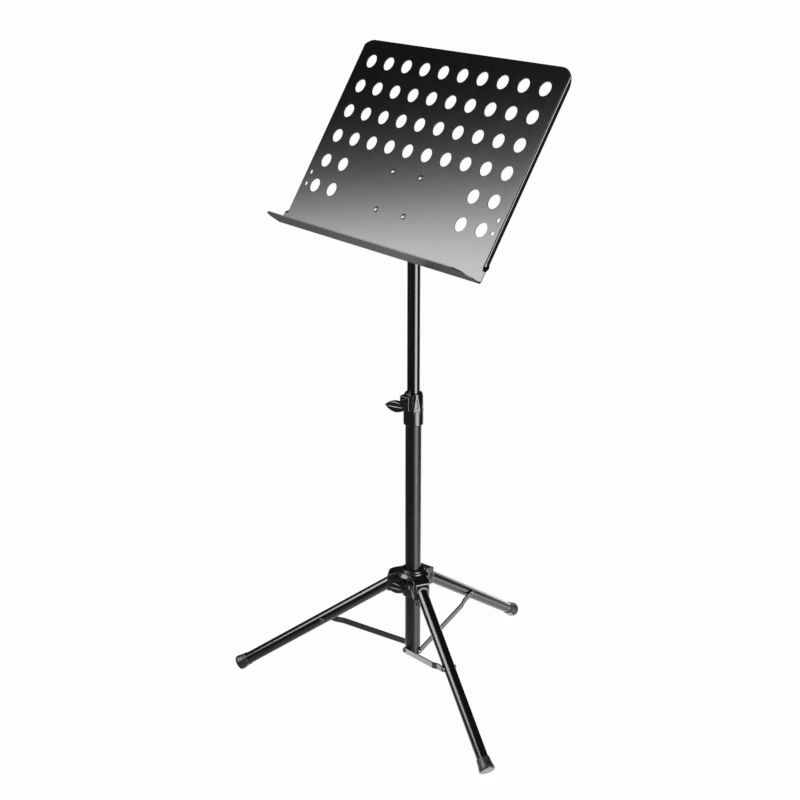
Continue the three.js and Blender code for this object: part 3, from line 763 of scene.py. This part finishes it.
PIVOT_HEIGHT = (TILT_AXIS.translation - POLE.translation).z
tongue = [
    (-TONGUE_WIDE, UPPER_TOP + 2), (TONGUE_WIDE, UPPER_TOP + 2),
    *arc(0, PIVOT_HEIGHT, TONGUE_ROUND, 0, 180, 32),
]
bolt_hole = [ring(0, PIVOT_HEIGHT, BOLT_RADIUS + GAP, 40)]
head_parts = [
    plate_yz(tongue, bolt_hole, -TONGUE_HALF, TONGUE_HALF, 0.6),
    rod(UPPER_RADIUS, UPPER_TOP + GAP, UPPER_TOP + 6, 64, 0.6),
    rod(UPPER_RADIUS - UPPER_WALL - GAP, UPPER_TOP - 28, UPPER_TOP + 1, 64, 0.4),
]
piece("tilt_head_casting", joined(head_parts), POLE, "tilt_head")
WASHER_START = TONGUE_HALF + GAP
for side, degrees in (("right", 0), ("left", 180)):
    washer = tube(WASHER_RADIUS, BOLT_RADIUS + GAP, WASHER_START, WASHER_START + WASHER, 40, 0.2)
    at = POLE @ shift(0, 0, PIVOT_HEIGHT) @ turn("Z", degrees)
    piece(f"tilt_friction_washer_{side}", along_x(washer), at, f"tilt_washer_{side}")



def pin_holes():
    """What the three strut screws' holes take out of the lower tube and its plug."""
    return [
        moved(along_y(rod(PIN_HOLE, -LOWER_RADIUS - 1, -5, 24)), turn("Z", a) @ shift(0, 0, STRUT_Z))
        for a in ARM_ANGLES
    ]


lower = tube(LOWER_RADIUS, LOWER_RADIUS - LOWER_WALL, LOWER_BOTTOM, LOWER_TOP)
piece("lower_column_tube", cut(lower, pin_holes()), BASE, "lower_tube")

plug_radius = LOWER_RADIUS - LOWER_WALL - GAP
plug_bottom, lip_top = LOWER_BOTTOM - PLUG_LIP, LOWER_BOTTOM - GAP
plug = turned(filleted([
    (0, plug_bottom), (LOWER_RADIUS, plug_bottom, 0.8), (LOWER_RADIUS, lip_top, 0.3),
    (plug_radius, lip_top), (plug_radius, PLUG_TOP, 0.5), (0, PLUG_TOP),
], closed=False), 64)
piece("tube_end_plug", cut(plug, pin_holes()), BASE, "tube_plug")


def screw_boss(bottom, top):
    """The rounded block on the tube's front that a wing screw goes through."""
    side, root, reach = BOSS_HALF, -BOSS_ROOT, -BOSS_REACH
    corners = [(-side, root), (-side, reach, BOSS_CORNER), (side, reach, BOSS_CORNER), (side, root)]
    return plate(filleted(corners, steps=6), [], bottom, top, BOSS_EDGE, 3)


def screw_hole(z):
    bore = rod(SCREW_RADIUS + GAP, -BOSS_REACH - 1, -SCREW_HOLE_END, 32)
    return moved(along_y(bore), shift(0, 0, z))


def clutch():
    """A cylinder that slanted and upright flats narrow toward the top, with a block for the screw."""
    body = turned(filleted([
        (0, CLUTCH_BOTTOM), (CLUTCH_RADIUS, CLUTCH_BOTTOM, 1.6), (CLUTCH_RADIUS, CLUTCH_TOP - 6, 2),
        (CLUTCH_TOP_RADIUS, CLUTCH_TOP, 0.8), (0, CLUTCH_TOP),
    ], closed=False), 96)
    flats = []
    for k in range(6):
        slab = moved(block((0, -20, 0), (20, 20, 40)), turn("Y", -CLUTCH_LEAN))
        flats.append(moved(slab, turn("Z", 60 * k) @ shift(CLUTCH_RADIUS, 0, CLUTCH_FLAT_Z)))
    for angle in CLUTCH_FACETS:
        facet = block((CLUTCH_RADIUS - CLUTCH_FACET, -20, CLUTCH_FLAT_Z - 2), (20, 20, CLUTCH_TOP + 2))
        flats.append(moved(facet, turn("Z", angle)))
    boss = screw_boss(CLUTCH_BOSS_BOTTOM, CLUTCH_BOSS_TOP)
    hollows = [
        rod(LOWER_RADIUS + GAP, CLUTCH_BOTTOM - 1, LOWER_TOP + GAP, 64),
        rod(LOWER_RADIUS - 0.3, LOWER_TOP, CLUTCH_TOP - CLUTCH_CAP, 64),
        rod(UPPER_RADIUS + GAP, CLUTCH_TOP - CLUTCH_CAP - 0.5, CLUTCH_TOP + 1, 64),
        screw_hole(CLUTCH_SCREW_Z),
    ]
    drop = [*arc(0, 517.5, 2.3, 180, 360, 16), (0.4, 531), (-0.4, 531)]
    for angle in CLUTCH_DROPS:
        recess = plate_yz(drop, [], CLUTCH_RADIUS - DROP_DEPTH, CLUTCH_RADIUS + 3)
        hollows.append(moved(recess, turn("Z", angle)))
    return softened(cut(joined([cut(body, flats), boss]), hollows), 0.45)


piece("clutch_body", clutch(), BASE, "clutch_collar")
wing_screw("clutch", CLUTCH_SCREW_Z, UPPER_RADIUS + GAP)

# ---- hub ----


def hub():
    """The slider: a stepped dome, three hollow arms with slotted roofs and a block for the screw."""
    profile = turned(filleted([
        (0, HUB_BOTTOM), (SLEEVE_RADIUS, HUB_BOTTOM, 1.2), (SLEEVE_RADIUS, 205),
        (27, 209, 1.5), (27.5, 211.5, 1), (23.5, 216.6, 1), (22.8, 218.2, 0.5),
        (20.2, 219, 0.6), (19.4, 220.6, 0.5), (17.4, HUB_TOP, 0.8), (0, HUB_TOP),
    ], closed=False), 96)
    arm = [
        (0, 200), (18, 200), (31.5, ARM_BOTTOM, 2), (ARM_REACH, ARM_BOTTOM, 2), (ARM_REACH, ARM_ROOF, 3),
        (34, 213.6, 12), (18, 217.5), (0, 217.5),
    ]
    low_end, outer_wall = ARM_BOTTOM - POCKET_DEEP, ARM_REACH - 2
    pocket = [
        (POCKET_START, low_end), (outer_wall, low_end), (outer_wall, ARM_ROOF - 3),
        (28, 211), (POCKET_START, 211),
    ]
    arch = [
        (-POCKET_HALF, low_end), (POCKET_HALF, low_end),
        *arc(0, ARCH_TOP - POCKET_HALF, POCKET_HALF, 0, 180, 32),
    ]
    plan = filleted([
        (-1, -ARM_HALF), (ARM_REACH, -ARM_HALF, ARM_CORNER),
        (ARM_REACH, ARM_HALF, ARM_CORNER), (-1, ARM_HALF),
    ], steps=8)
    solids, hollows = [profile], []
    for angle in ARM_ANGLES:
        at = turn("Z", angle)
        pivot = at @ shift(PIVOT_R, 0, PIVOT_Z)
        upright = plate_xz(filleted(arm, steps=8), [], -ARM_HALF, ARM_HALF, 1.1)
        rounded = plate(plan, [], ARM_BOTTOM - 5, HUB_TOP)
        solids.append(moved(combined(upright, [rounded], "INTERSECT"), at))
        hollows.append(moved(plate_xz(pocket, [], -POCKET_HALF, POCKET_HALF), at))
        hollows.append(moved(plate_yz(arch, [], ARM_REACH - 4, ARM_REACH + 2), at))
        hollows.append(moved(along_y(rod(PIVOT_HOLE, -20, 20, 24)), pivot))
        for degrees in (0, 180):
            sink = along_y(rod(NUT_POCKET, ARM_HALF - NUT_SINK, ARM_HALF + 2, 32))
            hollows.append(moved(sink, pivot @ turn("Z", degrees)))
        tilted = at @ shift(SLOT_START, 0, SLOT_TOP) @ turn("Y", SLOT_SLOPE)
        for y in RIBS_Y:
            slot = [(-1, y - 0.5), (9, y - 1.6), (9, y + 1.6), (-1, y + 0.5)]
            hollows.append(moved(plate(slot, [], 0, 15), tilted))
    solids.append(screw_boss(HUB_BOSS_BOTTOM, HUB_BOSS_TOP))
    hollows.append(rod(LOWER_RADIUS + GAP, HUB_BOTTOM - 1, HUB_TOP + 1, 64))
    hollows.append(rod(LOWER_RADIUS + 1.6, HUB_TOP - 2.5, HUB_TOP + 1, 64))
    hollows.append(screw_hole(HUB_SCREW_Z))
    return softened(cut(joined(solids), hollows), 0.4)


piece("sliding_hub", hub(), BASE, "tripod_hub")
wing_screw("hub", HUB_SCREW_Z, LOWER_RADIUS + GAP)

# ---- legs and struts ----


def foot():
    """The rubber cap on the leg's end, cut level where it stands."""
    start = LEG_LENGTH - FOOT_LENGTH
    cap = turned(filleted([
        (0, start), (FOOT_MOUTH, start, 0.6), (FOOT_WAIST, start + 8, 2), (FOOT_RADIUS, LEG_LENGTH - 5, 1.5),
        (FOOT_RADIUS, LEG_LENGTH, 1.6), (0, LEG_LENGTH),
    ], closed=False), 64)
    hollow = rod(LEG_RADIUS + GAP, start - 1, LEG_LENGTH - LEG_END_GAP + GAP, 48)
    ground = turn("Y", -LEG_DROP) @ shift(FOOT_R - PIVOT_R, 0, -PIVOT_Z)
    return cut(along_x(cap), [along_x(hollow), moved(block((-60, -40, -40), (60, 40, 0)), ground)])


def strut():
    """A strap with rounded ends and a smooth set-over near its outer end."""
    half = STRUT_WIDE / 2
    outline = arc(STRUT_LENGTH, 0, half, -90, 90, 20) + arc(0, 0, half, 90, 270, 20)
    holes = [ring(x, 0, PIN_HOLE, 24) for x in (0, STRUT_LENGTH)]
    bm = plate(outline, holes, -STRUT_THICK / 2, STRUT_THICK / 2, SHEET_EDGE)
    bend, flat = (STRUT_LENGTH - back for back in STRUT_BEND)
    slice_across(bm, 0, spaced(bend, flat, 12))
    for vertex in bm.verts:
        x, y, z = vertex.co
        over = STRUT_INNER_Y + (STRUT_OUTER_Y - STRUT_INNER_Y) * eased(x, bend, flat)
        vertex.co = (x, -over - z, y)
    return bm


def headed(shank, reach, head, at, rise):
    """A rivet along Z: a shank of length reach that ends at z = at, then a domed head."""
    points = [(0, at - reach), (shank, at - reach, 0.3), (shank, at)]
    return turned([*filleted(points, closed=False), *dome(head, rise, at)], 32)


for i, arm in enumerate(ARMS):
    n = i + 1
    leg, strap = leg_place(i), strut_place(i)
    pivot = arm @ shift(PIVOT_R, 0, PIVOT_Z)
    walls = along_x(tube(LEG_RADIUS, LEG_RADIUS - LEG_WALL, -LEG_INNER, LEG_LENGTH - LEG_END_GAP, 56))
    link_hole = moved(along_y(rod(LEG_RIVET_HOLE, -12, 12, 24)), shift(LINK_ON_LEG))
    holes = [along_y(rod(PIVOT_HOLE, -12, 12, 24)), link_hole]
    piece(f"leg_{n}_steel_tube", cut(walls, holes), leg, f"leg_tube_{n}")
    piece(f"leg_{n}_rubber_foot", foot(), leg, f"foot_{n}")
    rivet = along_y(headed(2.3, 2 * LEG_RADIUS + 0.1, 4, LEG_RADIUS + GAP, 1.1))
    piece(f"leg_{n}_rivet", rivet, leg @ shift(LINK_ON_LEG), f"leg_rivet_{n}")
    piece(f"strut_{n}_strap", strut(), strap, f"strut_{n}")
    outer = STRUT_OUTER_Y + STRUT_THICK / 2 + GAP
    rivet = moved(headed(2.4, outer - LEG_RADIUS - GAP, 4, outer, 2), turn("X", 90))
    piece(f"strut_{n}_rivet", rivet, strap @ shift(STRUT_LENGTH), f"strut_rivet_{n}")
    outer = STRUT_INNER_Y + STRUT_THICK / 2 + GAP
    screw = moved(headed(2.5, outer - 6, 4.2, outer, 2.2), turn("X", 90))
    piece(f"strut_{n}_pivot_screw", screw, arm @ shift(0, 0, STRUT_Z), f"strut_screw_{n}")
    bolt_head = softened(rod(PIVOT_HEX, ARM_HALF - 1.5, ARM_HALF + 0.8, 6), 0.5)
    bolt = along_y(joined([rod(PIVOT_BOLT, -ARM_HALF + 1, ARM_HALF - 1, 32, 0.3), bolt_head]))
    piece(f"leg_{n}_pivot_bolt", bolt, pivot, f"leg_bolt_{n}")
    nut = softened(rod(PIVOT_HEX, -ARM_HALF - 0.8, -ARM_HALF + 1.5, 6), 0.5)
    nut = along_y(cut(nut, [rod(PIVOT_BOLT + GAP, -20, 0, 32)]))
    piece(f"leg_{n}_pivot_nut", nut, pivot, f"leg_nut_{n}")

# ---- studio ----

WHITE = (1, 1, 1, 1)
FLOOR_GREY = 0.35
FLOOR_LIGHT = 0.96
BACKDROP_LIGHT = 0.975
MIRRORED_LIGHT = 0.05
CAMERA_FROM_POLE = Vector((1.7492, -1.4640, 1.3595))
CAMERA_LOOK = Vector((-0.72604, 0.59578, -0.34340))
CAMERA_LENS = 66.81
CARD_DISTANCE = 3.0
POOL_RADIUS = 0.85
POOL_LIGHT = 1.25
DESK_LIGHT = 11.5
SIDE_FADE = [(0, 0), (0.3, 1), (0.7, 1), (1, 0)]
POOL_FADE = [(0, 0), (0.29, 0.2), (0.5, 0.42), (0.68, 0.85), (0.85, 1)]
DESK_FADE = [(0, 0), (0.3, 0.045), (0.5, 0.28), (0.68, 0.67), (0.88, 1)]


def floor_material():
    material = bpy.data.materials.new("studio_floor")
    material.use_nodes = True
    shader = material.node_tree.nodes["Principled BSDF"]
    shader.inputs["Base Color"].default_value = (FLOOR_GREY, FLOOR_GREY, FLOOR_GREY, 1)
    shader.inputs["Roughness"].default_value = 0.9
    shader.inputs["Specular IOR Level"].default_value = 0.0
    shader.inputs["Emission Color"].default_value = WHITE
    shader.inputs["Emission Strength"].default_value = FLOOR_LIGHT
    return material


def glow_material(name, stops, strength, radial=False):
    """See-through light that follows the stops over the card.

    They run along its local X from 0 to 1, or radially from the rim in to the middle."""
    material = bpy.data.materials.new(name)
    material.use_nodes = True
    tree = material.node_tree
    tree.nodes.clear()
    place = tree.nodes.new("ShaderNodeTexCoord")
    fade = tree.nodes.new("ShaderNodeTexGradient")
    fade.gradient_type = "SPHERICAL" if radial else "LINEAR"
    tree.links.new(place.outputs["Object"], fade.inputs["Vector"])
    ramp = tree.nodes.new("ShaderNodeValToRGB")
    ramp.color_ramp.interpolation = "B_SPLINE"
    elements = ramp.color_ramp.elements
    while len(elements) < len(stops):
        elements.new(0.5)
    for element, (position, value) in zip(elements, stops):
        element.position = position
        element.color = (value, value, value, 1)
    tree.links.new(fade.outputs["Fac"], ramp.inputs["Fac"])
    light = tree.nodes.new("ShaderNodeEmission")
    light.inputs["Strength"].default_value = strength
    tree.links.new(ramp.outputs["Color"], light.inputs["Color"])
    out = tree.nodes.new("ShaderNodeOutputMaterial")
    clear = tree.nodes.new("ShaderNodeBsdfTransparent")
    both = tree.nodes.new("ShaderNodeAddShader")
    tree.links.new(light.outputs["Emission"], both.inputs[0])
    tree.links.new(clear.outputs["BSDF"], both.inputs[1])
    tree.links.new(both.outputs["Shader"], out.inputs["Surface"])
    return material


def card(name, corners, material):
    """A glowing card that only shows in reflections."""
    mesh = bpy.data.meshes.new(name)
    mesh.from_pydata(corners, [], [tuple(range(len(corners)))])
    mesh.materials.append(material)
    made = bpy.data.objects.new(name, mesh)
    bpy.context.collection.objects.link(made)
    made.visible_camera = made.visible_diffuse = made.visible_shadow = False
    return made


def direction(azimuth, elevation):
    """Towards the place where a camera at this azimuth and elevation would stand."""
    a, e = math.radians(azimuth), math.radians(elevation)
    return Vector((math.sin(a) * math.cos(e), -math.cos(a) * math.cos(e), math.sin(e)))


bpy.ops.mesh.primitive_plane_add(size=60, location=(0, 0, -0.0005))
floor = bpy.context.object
floor.name = "floor"
floor.data.materials.append(floor_material())
floor.visible_glossy = False

scene = bpy.context.scene
scene.view_settings.view_transform = "Standard"
world = bpy.data.worlds.new("studio")
scene.world = world
world.use_nodes = True
links, wnodes = world.node_tree.links, world.node_tree.nodes
backdrop = wnodes["Background"]
backdrop.inputs["Color"].default_value = WHITE
backdrop.inputs["Strength"].default_value = BACKDROP_LIGHT
dim = wnodes.new("ShaderNodeBackground")
dim.inputs["Color"].default_value = WHITE
dim.inputs["Strength"].default_value = MIRRORED_LIGHT
path = wnodes.new("ShaderNodeLightPath")
choose = wnodes.new("ShaderNodeMixShader")
links.new(path.outputs["Is Camera Ray"], choose.inputs["Fac"])
links.new(dim.outputs["Background"], choose.inputs[1])
links.new(backdrop.outputs["Background"], choose.inputs[2])
links.new(choose.outputs["Shader"], wnodes["World Output"].inputs["Surface"])

pole = POLE.translation * MM
optics = bpy.data.cameras.new("camera")
optics.sensor_width = 36
optics.lens = CAMERA_LENS
optics.clip_end = 100
camera = bpy.data.objects.new("camera", optics)
bpy.context.collection.objects.link(camera)
camera.location = pole + CAMERA_FROM_POLE
camera.rotation_mode = "QUATERNION"
camera.rotation_quaternion = CAMERA_LOOK.to_track_quat("-Z", "Y")
scene.camera = camera


def standing_card(name, azimuth, width, bottom, top, strength):
    """An upright softbox with soft sides, seen in the gloss, facing the column."""
    across = direction(azimuth + 90, 0) * width
    start = pole + direction(azimuth, 0) * CARD_DISTANCE - across / 2
    corners = [(0, 0, bottom), (1, 0, bottom), (1, 0, top), (0, 0, top)]
    made = card(name, corners, glow_material(name, SIDE_FADE, strength))
    made.matrix_world = Matrix.Translation(start) @ Matrix.Rotation(math.atan2(across.y, across.x), 4, "Z")
    made.scale.x = width


angles = [2 * math.pi * k / 64 for k in range(64)]
pool = card("floor_glow", [(math.cos(a), math.sin(a), 0) for a in angles],
            glow_material("floor_glow", POOL_FADE, POOL_LIGHT, radial=True))
pool.scale = (POOL_RADIUS, POOL_RADIUS, 1)
pool.location = pole + direction(150, 0) * 0.2 + Vector((0, 0, -0.002))

standing_card("key_card", 95, 2.7, -1.25, 3.4, 15.5)
standing_card("low_card", 140, 3.8, -2.4, -1.3, 2.2)
standing_card("left_low_card", -95, 2.6, -2.6, -1.3, 1.6)
standing_card("rim_card", 236, 2.4, -2.6, 0.2, 0.15)
standing_card("front_card", 52, 3.2, 0.9, 3.2, 0.4)
standing_card("rear_card", 200, 1.5, -2.2, 0.0, 3.5)

# The card that the desk mirrors: dark above the reader's left, brighter down and to the right.
MIRROR_Y = -60.0
CARD_AZIMUTH = -59.6
CARD_ELEVATION = 29.1
CARD_AWAY = 1.0
FADE_TURN = 57.0
FADE_LENGTH = 0.4
FADE_START = -0.11
CARD_REACH = 1.35
CARD_SIDES = (-0.9, 0.36)
glow_point = (DESK @ Vector((0, MIRROR_Y, 0))) * MM
glow_way = direction(CARD_AZIMUTH, CARD_ELEVATION)
glow_right = Vector((0, 0, 1)).cross(glow_way).normalized()
glow_up = glow_way.cross(glow_right)
fade_angle = math.radians(FADE_TURN)
fade_way = -glow_up * math.cos(fade_angle) + glow_right * math.sin(fade_angle)
side_way = fade_way.cross(glow_way)
near, far = CARD_SIDES[0] / FADE_LENGTH, CARD_SIDES[1] / FADE_LENGTH
reach = CARD_REACH / FADE_LENGTH
glow = card("desk_glow", [(0, near, 0), (reach, near, 0), (reach, far, 0), (0, far, 0)],
            glow_material("desk_glow", DESK_FADE, DESK_LIGHT))
glow.matrix_world = (
    Matrix.Translation(glow_point + glow_way * CARD_AWAY + fade_way * FADE_START)
    @ Matrix((fade_way, side_way, glow_way)).transposed().to_4x4()
    @ Matrix.Scale(FADE_LENGTH, 4)
)
